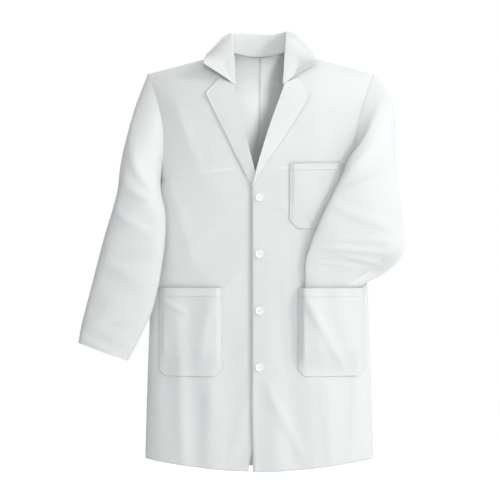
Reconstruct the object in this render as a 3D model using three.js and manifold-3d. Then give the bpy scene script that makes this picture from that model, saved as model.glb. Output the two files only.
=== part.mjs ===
// A long-sleeved laboratory coat as it hangs on a form: front edges lapped and
// buttoned, right sleeve hanging free, left sleeve bent with its cuff in the hip pocket.
// Millimetres, +Z up, the front faces -Y and +X is the wearer's left. The origin is
// the centre of the neck opening, level with the collar seam, where a hanger's stem rises.
import * as THREE from "three";
import { mergeVertices } from "three/addons/utils/BufferGeometryUtils.js";
import Module from "manifold-3d";

// Cloth and the clearances between its layers
const cloth = 1.5;
const interlining = 0.6;
const layerGap = 0.9;
const seamGap = 0.3; // half the gap left along a seam

// Body: its half width, its depth in front and behind, and how square its section is
const underarmHalfWidth = 246;
const hemHalfWidth = 283;
const frontDepth = 82;
const backDepth = 84;
const squareness = 2.4;
const shoulderRounding = 110;

// Heights
const neckPointHeight = 4;
const shoulderTipHeight = -60;
const underarmHeight = -320;
const lapelBreakHeight = -332;
const sideHemHeight = -1000;
const hemDrop = 28; // how much lower the hem hangs at the middle than at the side seams
const ventHeight = -720;
const flapHeight = -445; // below this the buttoned fronts are free to swing open

// Neck, shoulders, armholes and the lap of the front edges
const neckHalfWidth = 70;
const backNeckDrop = 9;
const shoulderTip = 270;
const shoulderEase = 8; // how far the section would run on past the shoulder's tip
const frontScoop = 22;
const backScoop = 16;
const frontLap = 19; // each front passes the centre line by this much
const ventLap = 22;
const facingWidth = 92;

// Collar and lapels, in front view places for the wearer's left side
const collarStandHeight = 40;
const collarFallBehind = 66;
const collarClearance = 6; // between the collar's fall and the coat below it
const gorge = { x: 62, z: -80 };
const notch = { x: 94, z: -65 };
const collarTip = { x: 138, z: -30 };
const lapelTip = { x: 127, z: -105 };
const lapelBelly = { x: 62, z: -205 };
const lapelFoot = { x: -15, z: -324 };
const lapelCrossing = { x: 4, z: -266 }; // where the right lapel goes under the left front
const collarShoulder = { x: 130, z: 0 };

// Pockets: inner edge, width across the front view, top and height
const pocketGap = 0.1; // least gap between a pocket and the front it is sewn to
const hipPocketTop = -578;
const hipPocketHeight = 217;
const rightHipPocket = { inner: 92, width: 156, swell: 9 };
const leftHipPocket = { inner: 94, width: 165, swell: 25 };
const chestPocket = { inner: 73, width: 133, top: -268, height: 162, swell: 6 };

// Buttons and buttonholes
const buttonCount = 4;
const firstButtonHeight = -356;
const buttonPitch = 138.7;
const buttonRadius = 10;
const buttonThickness = 3.2;
const threadHoleRadius = 1;
const threadHoleSpread = 1.8;
const shankRadius = 0.7;
const holeClearance = 1.8; // between a button and the opening cut for its buttonhole
const slitLength = 23;
const slitHeight = 8;

// The free under corner of the right front, beneath the hanging sleeve, that stays put
const stillCorner = { inner: 205, foot: -600 };

const left = 1;
const right = -1;
const coat = new THREE.Group();
const wasm = await Module();
wasm.setup();

const twill = (colour = 0xe6eae8) =>
  new THREE.MeshStandardMaterial({ color: colour, roughness: 0.92, metalness: 0 });
const clothMaterial = twill();
const interliningMaterial = twill(0xf4f4ee);
const buttonMaterial = new THREE.MeshStandardMaterial({ color: 0xf2f2ee, roughness: 0.3, metalness: 0 });
const threadMaterial = twill(0xf6f6f2);

const mix = (a, b, t) => a + (b - a) * t;
const clamp01 = (t) => Math.min(1, Math.max(0, t));
const smooth = (t) => clamp01(t) ** 2 * (3 - 2 * clamp01(t));

// ---- The body's surface ----

function halfWidthAt(z) {
  const up = clamp01((z - underarmHeight) / (shoulderTipHeight - underarmHeight));
  if (up > 0) return mix(underarmHalfWidth, shoulderTip + shoulderEase, up);
  const down = clamp01((underarmHeight - z) / (underarmHeight - sideHemHeight));
  return mix(underarmHalfWidth, hemHalfWidth, Math.sqrt(down));
}

// The shoulder line: flat across the neck, then falling to the tip.
function shoulderLine(x) {
  const along = (Math.abs(x) - neckHalfWidth) / (shoulderTip - neckHalfWidth);
  return mix(neckPointHeight, shoulderTipHeight, Math.max(0, along) ** 1.1);
}

// The hem is lowest at the middle of the front and of the back.
const hemLine = (x) =>
  sideHemHeight - hemDrop * Math.cos((Math.min(1, Math.abs(x) / hemHalfWidth) * Math.PI) / 2);

function depthShare(x, z) {
  const across = Math.min(1, Math.abs(x) / halfWidthAt(z));
  const section = (1 - across ** squareness) ** (1 / squareness);
  const down = clamp01((shoulderLine(x) - z) / shoulderRounding);
  return section * Math.sqrt(1 - (1 - down) ** 2);
}

const frontY = (x, z) => -seamGap - frontDepth * depthShare(x, z);
const backY = (x, z) => seamGap + backDepth * depthShare(x, z);

// How far the armhole's edge is from the centre line at a height, for a given scoop.
function armholeEdge(z, scoop) {
  const down = clamp01((shoulderTipHeight - z) / (shoulderTipHeight - underarmHeight));
  return mix(shoulderTip, halfWidthAt(underarmHeight), down) - scoop * Math.sin(Math.PI * down);
}

// The free inner edge of the left front: up the lapped edge, then along the lapel's roll.
function rollEdge(z) {
  if (z <= lapelBreakHeight) return -frontLap;
  const up = (z - lapelBreakHeight) / (gorge.z - lapelBreakHeight);
  return Math.min(gorge.x, mix(-frontLap, gorge.x, up));
}

// ---- Sheets of cloth ----

function geometryOf(points, faces) {
  const geometry = new THREE.BufferGeometry();
  const numbers = points.flatMap((p) => [p.x, p.y, p.z]);
  geometry.setAttribute("position", new THREE.Float32BufferAttribute(numbers, 3));
  geometry.setIndex(faces.flat());
  return geometry;
}

function signedVolume(points, faces) {
  return faces.reduce((sum, [a, b, c]) => {
    const normal = new THREE.Vector3().crossVectors(points[b], points[c]);
    return sum + points[a].dot(normal) / 6;
  }, 0);
}

// The normal is taken a little way in from the sheet's edges, where it is always sound.
function normalAt(pointAt, u, v, margin = 0) {
  const step = 4e-3;
  const atU = Math.min(1 - margin - step, Math.max(margin + step, u));
  const atV = Math.min(1 - margin - step, Math.max(margin + step, v));
  const along = pointAt(atU + step, atV).sub(pointAt(atU - step, atV));
  const down = pointAt(atU, atV + step).sub(pointAt(atU, atV - step));
  return along.cross(down).normalize();
}

// A closed solid between an outer face, a grid of points on a surface, and the same grid
// moved inwards by the thickness.
function thicken(pointAt, columns, rows, options = {}) {
  const { thickness = cloth, offset = 0, inward = 1, margin = 0, aim = null } = options;
  const points = [];
  const across = columns + 1;
  for (const depth of [-offset, thickness - offset]) {
    for (let j = 0; j <= rows; j += 1) {
      for (let i = 0; i < across; i += 1) {
        const u = i / columns;
        const v = j / rows;
        const into = normalAt(pointAt, u, v, margin).multiplyScalar(inward);
        if (aim) into.lerp(aim(u, v), 1 - smooth(v / 0.2)).normalize();
        points.push(pointAt(u, v).addScaledVector(into, depth));
      }
    }
  }
  const layer = across * (rows + 1);
  const at = (side, i, j) => side * layer + j * across + i;
  const faces = [];
  const quad = (a, b, c, d) => faces.push([a, b, c], [a, c, d]);
  for (let j = 0; j < rows; j += 1) {
    for (let i = 0; i < columns; i += 1) {
      quad(at(0, i, j), at(0, i + 1, j), at(0, i + 1, j + 1), at(0, i, j + 1));
      quad(at(1, i, j + 1), at(1, i + 1, j + 1), at(1, i + 1, j), at(1, i, j));
    }
  }
  for (let i = 0; i < columns; i += 1) {
    quad(at(1, i, 0), at(1, i + 1, 0), at(0, i + 1, 0), at(0, i, 0));
    quad(at(0, i, rows), at(0, i + 1, rows), at(1, i + 1, rows), at(1, i, rows));
  }
  for (let j = 0; j < rows; j += 1) {
    quad(at(0, 0, j), at(0, 0, j + 1), at(1, 0, j + 1), at(1, 0, j));
    quad(at(1, columns, j), at(1, columns, j + 1), at(0, columns, j + 1), at(0, columns, j));
  }
  if (signedVolume(points, faces) < 0) faces.forEach((face) => face.reverse());
  return geometryOf(points, faces);
}

function addMesh(name, geometry, material = clothMaterial) {
  const mesh = new THREE.Mesh(geometry, material);
  mesh.name = name;
  coat.add(mesh);
  return mesh;
}

function solidOf(geometry) {
  const bare = new THREE.BufferGeometry();
  bare.setAttribute("position", geometry.getAttribute("position").clone());
  if (geometry.index) bare.setIndex(geometry.index.clone());
  const merged = mergeVertices(bare, 1e-4);
  return new wasm.Manifold(
    new wasm.Mesh({
      numProp: 3,
      vertProperties: merged.attributes.position.array,
      triVerts: new Uint32Array(merged.index.array),
    }),
  );
}

function geometryOfSolid(solid) {
  const { vertProperties, triVerts } = solid.getMesh();
  const geometry = new THREE.BufferGeometry();
  geometry.setAttribute("position", new THREE.Float32BufferAttribute(vertProperties, 3));
  geometry.setIndex(Array.from(triVerts));
  return geometry;
}

// The largest separate body of a solid; trimming can leave loose slivers.
function mainBody(solid) {
  return solid.decompose().reduce((best, part) => (part.volume() > best.volume() ? part : best));
}

const without = (geometry, cutters) =>
  geometryOfSolid(
    mainBody(cutters.reduce((solid, cutter) => solid.subtract(solidOf(cutter)), solidOf(geometry))),
  );
const within = (geometry, keeper) =>
  geometryOfSolid(mainBody(solidOf(geometry).intersect(solidOf(keeper))));

// A prism right through the coat's front, from a front view outline of [x, z] places.
function frontPrism(outline, near = 40, far = -200) {
  const shape = new THREE.Shape(outline.map(([x, z]) => new THREE.Vector2(x, z)));
  const prism = new THREE.ExtrudeGeometry(shape, { depth: near - far, bevelEnabled: false });
  prism.rotateX(Math.PI / 2);
  prism.translate(0, near, 0);
  return prism;
}

// ---- Layers of the two front edges ----

// The left front lies over the right one, so near the centre its whole stack stands forward.
const stackHeight = 2 * cloth + interlining + 3 * layerGap;
const lapShift = (x) => stackHeight * smooth((205 - x) / 75);

// A point of a front panel's outer face. u runs from the free edge to the side, v down.
// The height that a row of a body panel reaches at its side, found in three rounds because
// the coat's width depends on that height.
function sideHeightAt(down, scoop) {
  let height = mix(shoulderTipHeight, sideHemHeight, down);
  for (let round = 0; round < 3; round += 1) {
    const x = height > underarmHeight ? armholeEdge(height, scoop) : halfWidthAt(height);
    height = mix(shoulderLine(x), hemLine(x), down);
  }
  return height;
}

function frontPoint(side, u, v, inset = 0, reach = 1) {
  const turn = 0.14; // the share of the rows that goes round the top of the shoulder
  const fall = shoulderRounding / (neckPointHeight - sideHemHeight);
  const down = v < turn
    ? fall * (1 - Math.cos((v / turn) * (Math.PI / 2)))
    : mix(fall, 1, (v - turn) / (1 - turn));
  const rowHeight = mix(neckPointHeight, sideHemHeight - hemDrop, down);
  const sideHeight = sideHeightAt(down, frontScoop);
  const onArmhole = sideHeight > underarmHeight;
  const outer = onArmhole ? armholeEdge(sideHeight, frontScoop) : halfWidthAt(sideHeight);
  const inner = rollEdge(rowHeight) + inset;
  const width = halfWidthAt(sideHeight);
  const angleOf = (x) => Math.asin(Math.sign(x) * Math.min(1, Math.abs(x) / width) ** (squareness / 2));
  const angle = mix(angleOf(inner), angleOf(mix(inner, outer, reach)), u);
  const x = Math.sign(angle) * width * Math.abs(Math.sin(angle)) ** (2 / squareness);
  const top = shoulderLine(x);
  const z = mix(top, hemLine(x), down);
  const forward = side === left ? lapShift(x) : 0;
  return new THREE.Vector3(side * x, frontY(x, z) - forward, z);
}

// The back panel's outer face. u runs from the centre seam to the side, v down.
function backPoint(side, u, v) {
  const turn = 0.14;
  const fall = shoulderRounding / (neckPointHeight - sideHemHeight);
  const down = v < turn
    ? fall * (1 - Math.cos((v / turn) * (Math.PI / 2)))
    : mix(fall, 1, (v - turn) / (1 - turn));
  const rowHeight = mix(neckPointHeight, sideHemHeight - hemDrop, down);
  const sideHeight = sideHeightAt(down, backScoop);
  const onArmhole = sideHeight > underarmHeight;
  const outer = onArmhole ? armholeEdge(sideHeight, backScoop) : halfWidthAt(sideHeight);
  const lap = ventLap * smooth((ventHeight - rowHeight) / 40);
  const inner = seamGap - lap;
  const width = halfWidthAt(sideHeight);
  const angleOf = (x) => Math.asin(Math.sign(x) * Math.min(1, Math.abs(x) / width) ** (squareness / 2));
  const angle = mix(angleOf(inner), angleOf(outer), u);
  const x = Math.sign(angle) * width * Math.abs(Math.sin(angle)) ** (2 / squareness);
  const neckDip = backNeckDrop * clamp01(1 - (x / neckHalfWidth) ** 2);
  const z = mix(shoulderLine(x) - neckDip, hemLine(x), down);
  const lifted = smooth((120 - x) / 50) * smooth((ventHeight + 150 - z) / 80);
  const outward = side === right ? (cloth + 2.5 * layerGap) * lifted : 0;
  return new THREE.Vector3(side * x, backY(x, z) + outward, z);
}

// ---- Trimming solids ----

function block(min, max) {
  const size = max.map((value, axis) => value - min[axis]);
  const box = new THREE.BoxGeometry(...size);
  box.translate(...max.map((value, axis) => (value + min[axis]) / 2));
  return box;
}

const behindMiddle = block([-500, -seamGap, -1300], [500, 500, 200]);
const beforeMiddle = block([-500, -500, -1300], [500, seamGap, 200]);

// The part of a front that swings: everything below the flap line, apart from the right
// front's corner beneath the hanging sleeve.
function flapPrism(side, margin) {
  const top = flapHeight - margin;
  const outline = [[-60, top], [-60, -1200], [400, -1200], [400, top]];
  if (side === right) {
    const inner = stillCorner.inner - margin;
    const foot = stillCorner.foot - margin;
    outline.splice(3, 1, [400, foot], [inner, foot], [inner, top]);
  }
  return frontPrism(outline.map(([x, z]) => [side * x, z]));
}

// ---- Collar: the upper collar folds over the under collar ----

// Points along the neck seam, the roll and the free edge; t runs from 0 at the gorge to 1
// at the middle of the back.
function collarLines(t) {
  const front = clamp01(t / 0.45);
  const behind = clamp01((t - 0.45) / 0.55);
  const round = Math.cos((behind * Math.PI) / 2);
  const x = t < 0.45 ? mix(gorge.x, neckHalfWidth, front) : neckHalfWidth * round;
  const dip = backNeckDrop * (1 - (x / neckHalfWidth) ** 2);
  const frontSeam = new THREE.Vector3(x - 4, 0, mix(gorge.z, neckPointHeight, front));
  frontSeam.y = frontY(gorge.x, gorge.z) * (1 - front) - 3;
  const backSeam = new THREE.Vector3(x * (1 - 4 / neckHalfWidth), 0, neckPointHeight - dip);
  backSeam.y = mix(-3, backY(0, neckPointHeight - backNeckDrop) - 4, Math.sin((behind * Math.PI) / 2));
  const seam = t < 0.45 ? frontSeam : backSeam;
  const rise = collarStandHeight * smooth(front / 0.9) + backNeckDrop * behind;
  const roll = seam.clone().add(new THREE.Vector3(0, -6 * (1 - front), rise));
  const edgeFront = new THREE.Vector3();
  edgeFront.x = mix(collarTip.x, collarShoulder.x, front);
  edgeFront.z = mix(collarTip.z, collarShoulder.z, front);
  edgeFront.y = mix(frontY(collarTip.x, collarTip.z) - 9, 2, smooth(front));
  const edgeBack = new THREE.Vector3(collarShoulder.x * round ** 0.8, 0, 0);
  const edgeBehind = neckPointHeight + collarStandHeight - collarFallBehind;
  edgeBack.z = mix(collarShoulder.z, edgeBehind, smooth(behind * 1.6));
  edgeBack.y = mix(2, 34 + 46, Math.sin((behind * Math.PI) / 2));
  return { seam, roll, edge: t < 0.45 ? edgeFront : edgeBack };
}

function collarPoint(u, v) {
  const t = 1 - Math.abs(2 * u - 1);
  const { seam, roll, edge } = collarLines(t);
  const out = new THREE.Vector3(edge.x - roll.x, edge.y - roll.y, 0).normalize();
  const turn = 4 + 3 * smooth(t / 0.3);
  const stations = [
    seam.clone().addScaledVector(out, -2),
    seam.clone().lerp(roll, 0.75).addScaledVector(out, -2),
    roll.clone().addScaledVector(out, turn * 0.4),
    roll.clone().lerp(edge, 0.3).addScaledVector(out, turn).add(new THREE.Vector3(0, 0, 4)),
    edge.clone().add(new THREE.Vector3(0, 0, 0)),
  ];
  const path = new THREE.CatmullRomCurve3(stations, false, "centripetal");
  const point = path.getPoint(v);
  const clear = collarClearance + (u > 0.5 ? lapShift(point.x) : 0);
  if (t < 0.45 && v > 0.3) point.y = Math.min(point.y, frontY(point.x, point.z) - clear);
  if (t > 0.5 && v > 0.5) point.y = Math.max(point.y, backY(point.x, point.z) + collarClearance);
  if (u < 0.5) point.x *= -1;
  return point;
}

const collarColumns = 20;
const collarRows = 7;
const collarRoom = thicken(collarPoint, collarColumns, collarRows, { thickness: 3 * cloth, offset: 0.6 });
const upperCollarRoom = thicken(collarPoint, collarColumns, collarRows, {
  thickness: cloth + 0.8,
  offset: 0.4,
});
const underCollar = thicken((u, v) => collarPoint(u, mix(0.03, 0.985, v)), collarColumns, collarRows, {
  thickness: cloth,
  offset: -cloth - layerGap,
});
addMesh("upper_collar", thicken(collarPoint, collarColumns, collarRows));
addMesh("under_collar", without(underCollar, [upperCollarRoom]));

// ---- Fronts, facings and interlinings ----

const buttonHeights = Array.from({ length: buttonCount }, (_, n) => firstButtonHeight - n * buttonPitch);

// The opening through the left front round a buttonhole: a round end where the button
// passes and a straight run for the rest of the slit.
function buttonholePrism(height, margin) {
  const radius = buttonRadius + holeClearance + margin;
  const far = slitLength + margin;
  const half = radius * 0.75;
  const start = Math.asin(half / radius);
  const arc = Array.from({ length: 15 }, (_, n) => mix(start, 2 * Math.PI - start, n / 14));
  const outline = arc.map((angle) => [radius * Math.cos(angle), height + radius * Math.sin(angle)]);
  outline.push([far, height - half], [far, height + half]);
  return frontPrism(outline);
}

// How finely the panels are drawn
const panelColumns = 8;
const panelRows = 15;

// The layers of a front, from the outside in: cloth, interlining, facing.
const layerDepths = {
  front: { depth: 0, thickness: cloth, inset: 0 },
  interlining: { depth: cloth + layerGap, thickness: interlining, inset: 3 },
  facing: { depth: cloth + interlining + 2 * layerGap, thickness: cloth, inset: 1 },
};
const stripReach = facingWidth / (underarmHalfWidth + frontLap);

function buildFrontLayer(side, sideName, layer) {
  const { depth, thickness, inset } = layerDepths[layer];
  const isStrip = layer !== "front";
  const reach = isStrip ? stripReach : 1;
  const columns = isStrip ? 3 : panelColumns;
  const rows = isStrip ? panelRows - 2 : panelRows;
  const pointAt = (u, v) => {
    const row = isStrip ? mix(0.2, 0.992, v) : v;
    return frontPoint(side, u, row, inset, reach);
  };
  const inward = side === left ? 1 : -1;
  const sheet = thicken(pointAt, columns, rows, { thickness, offset: -depth, inward });
  const holes = side === left ? buttonHeights.map((z) => buttonholePrism(z, 0)) : [];
  const whole = without(sheet, [behindMiddle, collarRoom, ...holes]);
  const material = layer === "interlining" ? interliningMaterial : clothMaterial;
  addMesh(`${layer}_${sideName}_upper`, without(whole, [flapPrism(side, -seamGap)]), material);
  addMesh(`${layer}_${sideName}_lower`, within(whole, flapPrism(side, seamGap)), material);
}

const sides = [[right, "right"], [left, "left"]];
for (const [side, name] of sides) {
  Object.keys(layerDepths).forEach((layer) => buildFrontLayer(side, name, layer));
}

// ---- Sheets that lie on the fronts, cut to a front view outline ----

// A grid of cloth over the outline's box whose outer face is at outerY(x, z), cut to it.
function laidOn(outline, outerY, { thickness = cloth, columns = 8, rows = 8 } = {}) {
  const xs = outline.map(([x]) => x);
  const zs = outline.map(([, z]) => z);
  const pointAt = (u, v) => {
    const x = mix(Math.min(...xs) - 2, Math.max(...xs) + 2, u);
    const z = mix(Math.max(...zs) + 2, Math.min(...zs) - 2, v);
    return new THREE.Vector3(x, outerY(x, z), z);
  };
  return within(thicken(pointAt, columns, rows, { thickness, inward: 1 }), frontPrism(outline));
}

const onSide = (side, outline) => outline.map(([x, z]) => [side * x, z]);

// A pocket is sewn down along its sides and foot and stands away from the front between.
// The room a body panel takes up, with a margin all round: what lies on it is trimmed by it.
function panelRoom(side, surface, inward, room, depth) {
  return thicken((u, v) => surface(side, u, v), panelColumns, panelRows, {
    thickness: depth + room,
    offset: room,
    inward,
  });
}

function buildPocket(side, name, pocket, top, height, foot) {
  const outer = pocket.inner + pocket.width;
  const bottom = top - height;
  const outline = [[pocket.inner, top], [pocket.inner, bottom + foot], [pocket.inner + foot, bottom]];
  outline.push([outer - foot, bottom], [outer, bottom + foot], [outer, top]);
  const outerY = (x, z) => {
    const across = clamp01((Math.abs(x) - pocket.inner) / pocket.width);
    const up = clamp01((z - bottom) / height);
    const fullness = smooth(Math.min(across, 1 - across) / 0.1) * smooth(up / 0.35);
    const lap = side === left ? lapShift(Math.abs(x)) : 0;
    return frontY(x, z) - lap - cloth - layerGap - pocket.swell * fullness;
  };
  const bag = laidOn(onSide(side, outline), outerY, { columns: 11, rows: 6 });
  addMesh(name, without(bag, [panelRoom(side, frontPoint, side, pocketGap, 3 * cloth)]));
}

buildPocket(right, "hip_pocket_right", rightHipPocket, hipPocketTop, hipPocketHeight, 16);
buildPocket(left, "hip_pocket_left", leftHipPocket, hipPocketTop, hipPocketHeight, 16);
buildPocket(left, "chest_pocket", chestPocket, chestPocket.top, chestPocket.height, 22);

// A lapel is the front and its facing turned back over the chest along the roll.
function buildLapel(side, name) {
  const foot = side === left ? lapelFoot : lapelCrossing;
  const outline = [
    [gorge.x + 2, gorge.z - 3],
    [notch.x, notch.z - 2.5],
    [lapelTip.x, lapelTip.z],
    [lapelBelly.x, lapelBelly.z],
    [foot.x + 6, foot.z],
    [foot.x, foot.z + 6],
  ];
  const lift = side === left ? stackHeight : 0;
  const outerY = (x, z) => frontY(x, z) - lift - 2 * cloth - 5 * clamp01((z - lapelBreakHeight) / 90);
  const options = { thickness: cloth, columns: 8, rows: 14 };
  addMesh(`lapel_${name}`, laidOn(onSide(side, outline), outerY, options));
}
sides.forEach(([side, name]) => buildLapel(side, name));

// ---- Back halves, lapped at the vent ----

for (const [side, name] of sides) {
  const pointAt = (u, v) => backPoint(side, u, v);
  const sheet = thicken(pointAt, panelColumns, panelRows, { inward: side === left ? -1 : 1 });
  addMesh(`back_${name}`, without(sheet, [beforeMiddle, collarRoom]));
}

// ---- Sleeves ----

// Cross sections down each sleeve in front view, in the wearer's left side's sense. Each has
// its outer and inner edge, how far forward each edge is as a share of the body's depth in
// front, its depth in front of and behind that line, and how closely it hugs the front.
const rightSleeve = [
  { outer: [334, -255], inner: [240, -352], at: [-0.488, -0.610], depth: [44, 42], hug: 0 },
  { outer: [351, -350], inner: [230, -402], at: [-0.671, -0.805], depth: [40, 34], hug: 0 },
  { outer: [382, -458], inner: [234, -492], at: [-0.805, -0.951], depth: [37, 30], hug: 0 },
  { outer: [414, -583], inner: [258, -619], at: [-0.902, -1.000], depth: [33, 29], hug: 0 },
  { outer: [436, -670], inner: [294, -703], at: [-0.963, -1.037], depth: [29, 27], hug: 0 },
  { outer: [443, -714], inner: [320, -754], at: [-1.000, -1.061], depth: [26, 25], hug: 0 },
];
const leftSleeve = [
  { outer: [327, -235], inner: [218, -292], at: [-0.488, -0.854], depth: [44, 30], hug: 0 },
  { outer: [343, -340], inner: [181, -345], at: [-0.683, -1.110], depth: [36, 12], hug: 0 },
  { outer: [355, -440], inner: [150, -408], at: [-0.780, -1.220], depth: [30, 9], hug: 0 },
  { outer: [350, -498], inner: [128, -462], at: [-0.805, -1.207], depth: [24, 9], hug: 0 },
  { outer: [306, -544], inner: [113, -512], at: [-0.780, -1.207], depth: [15, 7], hug: 0.4 },
  { outer: [247, -575], inner: [112, -556], at: [-0.659, -1.146], depth: [8, 3], hug: 1 },
  { outer: [236, -630], inner: [114, -625], at: [-0.659, -1.146], depth: [7, 3], hug: 1 },
  { outer: [232, -688], inner: [116, -684], at: [-0.659, -1.146], depth: [6, 3], hug: 1 },
];
const hugGap = 9; // between a hugging sleeve and the front behind it
const sleeveGap = 0.9; // least gap between a sleeve and the panels beside it
const underSleeveInset = 0.085; // how far the under sleeve stops short of the top one, as a share

// A point round one half of a sleeve's section: u from the outer edge to the inner edge.
function sectionPoint(section, half, u) {
  const around = Math.PI * u;
  const across = (1 - Math.cos(around)) / 2;
  const x = mix(section.outer[0], section.inner[0], across);
  const z = mix(section.outer[1], section.inner[1], across);
  const straight = frontDepth * mix(section.at[0], section.at[1], across);
  const bodyLine = frontY(x, z) - lapShift(x) - hugGap;
  const line = mix(straight, bodyLine, section.hug);
  const bulge = Math.sin(around) ** 0.8 * (half === "top" ? -section.depth[0] : section.depth[1]);
  return new THREE.Vector3(x, line + bulge, z);
}

// The armhole's edge, just outside the body: u from the shoulder tip to the underarm.
function armholePoint(half, u) {
  const z = mix(shoulderTipHeight, underarmHeight, (1 - Math.cos(Math.PI * u)) / 2);
  const scoop = half === "top" ? frontScoop : backScoop;
  const x = armholeEdge(z, scoop);
  const y = half === "top" ? frontY(x, z) : backY(x, z);
  return new THREE.Vector3(x + 5.5, y, z);
}

function sleevePoint(sections, half, u, v) {
  const rings = [armholePoint(half, u), ...sections.map((section) => sectionPoint(section, half, u))];
  const path = new THREE.CatmullRomCurve3(rings, false, "centripetal");
  return path.getPoint(v);
}

// Elbow line across each sleeve: the lower part swings from it.
const rightElbow = { outer: [470, -441], inner: [170, -510] };

function elbowPrism(margin) {
  const { outer, inner } = rightElbow;
  const outline = [
    [inner[0], inner[1] - margin],
    [inner[0], -900],
    [outer[0], -900],
    [outer[0], outer[1] - margin],
  ];
  return frontPrism(outline.map(([x, z]) => [-x, z]), 60, -250);
}

function buildSleeve(side, sideName, sections) {
  const rows = side === left ? 15 : 11;
  const columns = 10;
  const pointAt = (half) => (u, v) => {
    const inset = half === "under" ? underSleeveInset : 0;
    const p = sleevePoint(sections, half, mix(inset, 1 - inset, u), v);
    return new THREE.Vector3(side * p.x, p.y, p.z);
  };
  // the front's room reaches a little past its armhole edge
  const frontReach = (panelSide, u, v) => frontPoint(panelSide, u, v, 0, 1.02);
  const rooms = [
    panelRoom(side, frontReach, side, 2.2, 9),
    panelRoom(side, backPoint, -side, 2.2, 9),
    panelRoom(side, frontReach, side, sleeveGap, cloth + sleeveGap),
    panelRoom(side, backPoint, -side, sleeveGap, cloth + sleeveGap),
  ];
  // Round the armhole the cloth's thickness points at the middle of the sleeve.
  const aimFrom = (half) => (u, v) => {
    const middle = pointAt("top")(0.5, v).add(pointAt("under")(0.5, v)).multiplyScalar(0.5);
    return middle.sub(pointAt(half)(u, v)).normalize();
  };
  const margin = 0.06;
  const topOptions = { inward: -side, margin, aim: aimFrom("top") };
  const top = thicken(pointAt("top"), columns, rows, topOptions);
  const roomOptions = { ...topOptions, thickness: cloth + 2.6, offset: 1.3 };
  const topRoom = thicken(pointAt("top"), columns, rows, roomOptions);
  const under = thicken(pointAt("under"), columns, rows, { inward: -side, margin });
  const lower = side === left ? flapPrism(left, seamGap) : elbowPrism(seamGap);
  const upper = side === left ? flapPrism(left, -seamGap) : elbowPrism(-seamGap);
  const edge = side * halfWidthAt(underarmHeight);
  const underarmNotch = block([edge - 8, -14, underarmHeight - 12], [edge + 8, 4, underarmHeight + 8]);
  const halves = {
    top: without(top, rooms),
    under: without(under, [...rooms, topRoom, underarmNotch]),
  };
  for (const [half, sheet] of Object.entries(halves)) {
    addMesh(`${half}_sleeve_${sideName}_upper`, without(sheet, [upper]));
    addMesh(`${half}_sleeve_${sideName}_lower`, within(sheet, lower));
  }
}
buildSleeve(right, "right", rightSleeve);
buildSleeve(left, "left", leftSleeve);

// ---- Buttons, their thread and the buttonholes ----

const rightFace = (z) => frontY(0, z);
const quarters = [[1, 1], [-1, 1], [-1, -1], [1, -1]];
const threadHoles = quarters.map(([x, z]) => [x * threadHoleSpread, z * threadHoleSpread]);

function spun(profile, height) {
  const turned = new THREE.LatheGeometry(profile.map(([r, y]) => new THREE.Vector2(r, y)), 16);
  turned.translate(0, height, 0);
  return turned;
}

// A rod along the coat's depth from y = start back towards the body.
function rod(radius, start, length, x, z, segments = 6) {
  const cylinder = new THREE.CylinderGeometry(radius, radius, length, segments);
  cylinder.translate(x, start + length / 2, z);
  return cylinder;
}

buttonHeights.forEach((z, n) => {
  const cloth0 = rightFace(z);
  const back = cloth0 - stackHeight - 0.4;
  const face = back - buttonThickness;
  const rim = [[0, 0], [buttonRadius - 1, 0], [buttonRadius, 1], [buttonRadius, 2]];
  rim.push([buttonRadius - 1, buttonThickness], [0, buttonThickness]);
  const disc = spun(rim.map(([r, y]) => [r, -y]).reverse(), back);
  disc.translate(0, 0, z);
  const dish = spun([[0, -1.4], [7.6, -1.4], [6.6, 0], [0, 0]], face + 1);
  dish.translate(0, 0, z);
  const drills = threadHoles.map(([x, dz]) => rod(threadHoleRadius, face - 1, buttonThickness + 2, x, z + dz));
  addMesh(`button_${n + 1}`, without(disc, [dish, ...drills]), buttonMaterial);
  const strands = threadHoles.map(([x, dz]) => rod(shankRadius, face + 0.6, cloth0 - face - 1, x, z + dz, 4));
  const stitches = [-1, 1].map((end) => {
    const bar = new THREE.BoxGeometry(2 * threadHoleSpread + 1, 0.7, 1);
    bar.translate(0, face + 0.65, z + end * threadHoleSpread);
    return bar;
  });
  const tie = rod(threadHoleSpread + 1.2, cloth0 - 1.6, 1.2, 0, z, 6);
  const parts = [...strands, ...stitches, tie].map(solidOf);
  addMesh(`button_thread_${n + 1}`, geometryOfSolid(parts.reduce((all, part) => all.add(part))), threadMaterial);
  const outerY = (x, zz) => frontY(x, zz) - stackHeight;
  const plug = thicken(
    (u, v) => {
      const x = mix(-16, 28, u);
      const zz = mix(z + 14, z - 14, v);
      return new THREE.Vector3(x, outerY(x, zz), zz);
    },
    2, 1, { thickness: 2 * cloth + interlining + 2 * layerGap, inward: 1 },
  );
  const slit = block([-4, -200, z - slitHeight / 2], [slitLength - 4, 0, z + slitHeight / 2]);
  const patch = within(plug, buttonholePrism(z, -seamGap));
  addMesh(`buttonhole_${n + 1}`, without(patch, [slit]), threadMaterial);
});

export default coat;
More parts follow.
